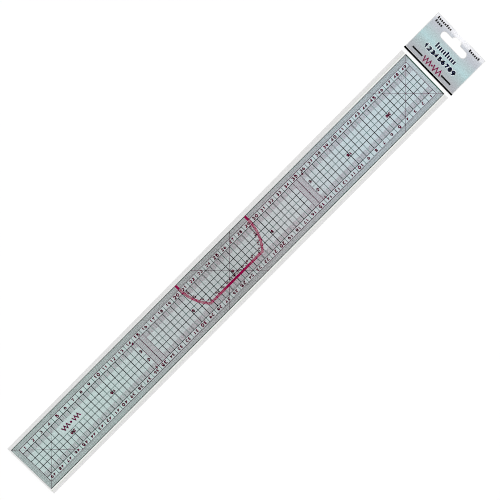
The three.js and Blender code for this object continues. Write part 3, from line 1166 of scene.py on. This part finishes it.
LONG_TICK_EVERY = 5
SCALE_AT = 20.8
SCALE_START = 10.8
SCALE_PITCH = 2.5
SCALE_COUNT = 10
SCALE_SHORT = 3.6
SCALE_LONG = 5.2
SCALE_LINE = 1.7
HALO_LINE = 0.7

# Where each row stands, where it starts, its pitch and its count
CORNER_ROWS = ((40.4, 27.2, 2.2, 8), (36.8, 26.8, 2.2, 4), (39.6, -14.2, 2.2, 6))
CORNER_SHORT = 1.9
CORNER_LONG = 2.6
CORNER_LINE = 1.5


def card_ink(layer):
    """An empty layer of print on the card, counted from its face."""
    floor = CARD_FACE + CARD_INK_GAP + layer * (CARD_INK + CARD_INK_GAP)
    return Ink(CARD_ORIGIN, floor, CARD_INK)


def tick_row(ink, at, start, pitch, count, short, long, width):
    """Ticks along the header that stand on a line across it, every fifth one long."""
    for step in range(count):
        y = start - pitch * step
        tall = long if step % LONG_TICK_EVERY == 0 else short
        ink.line([(at, y), (at + tall, y)], width)


def card_rules():
    """Two short rules beside the fold, one on each side of the stitches."""
    ink = card_ink(1)
    for start, end in RULE_SPANS:
        ink.line([(RULE_AT, start), (RULE_AT, end)], RULE_WIDTH)
    add_print("card_rules", ink, black_ink, "header", "black_ink")


def card_stitches():
    """Two runs of zigzag stitches across the header, with a round knot between them."""
    ink = card_ink(1)
    for start, end in STITCH_SPANS:
        corners = zigzag(start, end, STITCH_AT, STITCH_TALL, STITCH_COUNT)
        ink.line([(u, y) for y, u in corners], STITCH_WIDTH)
    ink.dot((STITCH_AT, KNOT_AT), KNOT_RADIUS)
    add_print("card_stitches", ink, stitch_ink, "header", "printed_card")


def card_scale():
    """A short tick scale over a row of figures, both with a pale halo."""
    print_ink, halo, under = card_ink(2), card_ink(1), card_ink(0)
    for step, figure in enumerate(CARD_FIGURES):
        spot = (CARD_FIGURE_AT, CARD_FIGURE_START - step * CARD_FIGURE_PITCH)
        print_ink.number(figure, spot, CARD_FIGURE_TALL, READ_ACROSS, CARD_FIGURE_STROKE)
        halo.number(figure, spot, CARD_FIGURE_TALL, READ_ACROSS, CARD_FIGURE_STROKE, HALO_GROWTH)
    sizes = (SCALE_START, SCALE_PITCH, SCALE_COUNT, SCALE_SHORT, SCALE_LONG)
    tick_row(print_ink, SCALE_AT, *sizes, SCALE_LINE)
    tick_row(under, SCALE_AT, *sizes, SCALE_LINE + HALO_LINE)
    add_print("card_figures", print_ink, navy_ink, "header", "printed_card")
    add_print("card_figures_halo", halo, pale_ink, "header", "printed_card")
    add_print("card_scale_halo", under, pale_ink, "header", "printed_card")


def card_corner_marks():
    """Small black tick rows in the two upper corners."""
    ink = card_ink(1)
    for row in CORNER_ROWS:
        tick_row(ink, *row, CORNER_SHORT, CORNER_LONG, CORNER_LINE)
    add_print("card_corner_ticks", ink, black_ink, "header", "black_ink")


card_rules()
card_stitches()
card_scale()
card_corner_marks()


# The floor, the lamps and the world

FLOOR_DROP = 0.2 * MM
FLOOR_HALF = 3.0
FLOOR_GLOW = 0.92
FLOOR_COLOR = shade(WHITE, 0.95)


def add_floor():
    """A pale floor that shows evenly white to the camera, in mirrors and through clear sheets."""
    material, tree = shader_tree("white_floor")
    rays = add_node(tree, "ShaderNodeLightPath").outputs
    seen = maths(tree, "MAXIMUM", rays["Is Camera Ray"], rays["Is Glossy Ray"])
    seen = maths(tree, "MAXIMUM", seen, rays["Is Transmission Ray"])
    share = maths(tree, "MULTIPLY", seen, FLOOR_GLOW)
    plain = add_node(tree, "ShaderNodeBsdfDiffuse", {"Color": FLOOR_COLOR})
    glow = add_node(tree, "ShaderNodeEmission", {"Color": WHITE, "Strength": 1.0})
    finish_tree(tree, mix_shaders(tree, share, plain.outputs["BSDF"], glow.outputs["Emission"]))
    corners = [(-1, -1), (1, -1), (1, 1), (-1, 1)]
    points = [(FLOOR_HALF * x, FLOOR_HALF * y, -FLOOR_DROP) for x, y in corners]
    mesh_object("floor", points, [(0, 1, 2, 3)], material)


# Each lamp's place, size and strength
LAMPS = {
    "side_lamp": ((0.0, -1.1, 0.9), (1.2, 0.35), 4.0),
    "end_lamp": ((1.1, 0.0, 0.7), (0.35, 1.0), 9.0),
}


def add_lamp(name, place, size, strength):
    """A soft rectangular lamp that faces the object's middle and doesn't show in mirrors."""
    data = bpy.data.lights.new(name, "AREA")
    data.shape = "RECTANGLE"
    data.size, data.size_y = size
    data.energy = strength
    lamp = bpy.data.objects.new(name, data)
    lamp.location = place
    lamp.rotation_euler = (-Vector(place)).to_track_quat("-Z", "Y").to_euler()
    lamp.visible_glossy = False
    bpy.context.scene.collection.objects.link(lamp)


# The sky's shades, by the cosine of the turn away from the axis of its dark part
SKY_STRENGTH = 1.08
DARK_SKY_AXIS = (-0.15, -0.1, 1)
SKY_SHADES = [
    (0.0, WHITE),
    (0.84, WHITE),
    (0.915, shade(WHITE, 0.42)),
    (0.965, shade(WHITE, 0.12)),
]


def add_world():
    """A white sky that is dark above the camera, more so towards the zero end."""
    world = bpy.data.worlds.new("studio")
    world.use_nodes = True
    tree = world.node_tree
    tree.nodes.clear()
    place = add_node(tree, "ShaderNodeTexCoord").outputs["Generated"]
    facing = vector_maths(tree, "DOT_PRODUCT", place, Vector(DARK_SKY_AXIS).normalized())
    sky = ramp(tree, facing.outputs["Value"], SKY_SHADES)
    background = add_node(tree, "ShaderNodeBackground", {"Color": sky, "Strength": SKY_STRENGTH})
    add_node(tree, "ShaderNodeOutputWorld", {"Surface": background.outputs["Background"]})
    bpy.context.scene.world = world


add_floor()
add_world()
for lamp_name, lamp_settings in LAMPS.items():
    add_lamp(lamp_name, *lamp_settings)

# Light passes through many clear faces and layers of print
TRANSPARENT_BOUNCES = 32

# The print is finer than a pixel, and wider filters blur it
FILTER_PIXELS = 1.0

bpy.context.scene.view_settings.view_transform = "Standard"
bpy.context.scene.cycles.transparent_max_bounces = TRANSPARENT_BOUNCES
bpy.context.scene.cycles.filter_width = FILTER_PIXELS
bpy.context.scene.cycles.denoising_prefilter = "NONE"
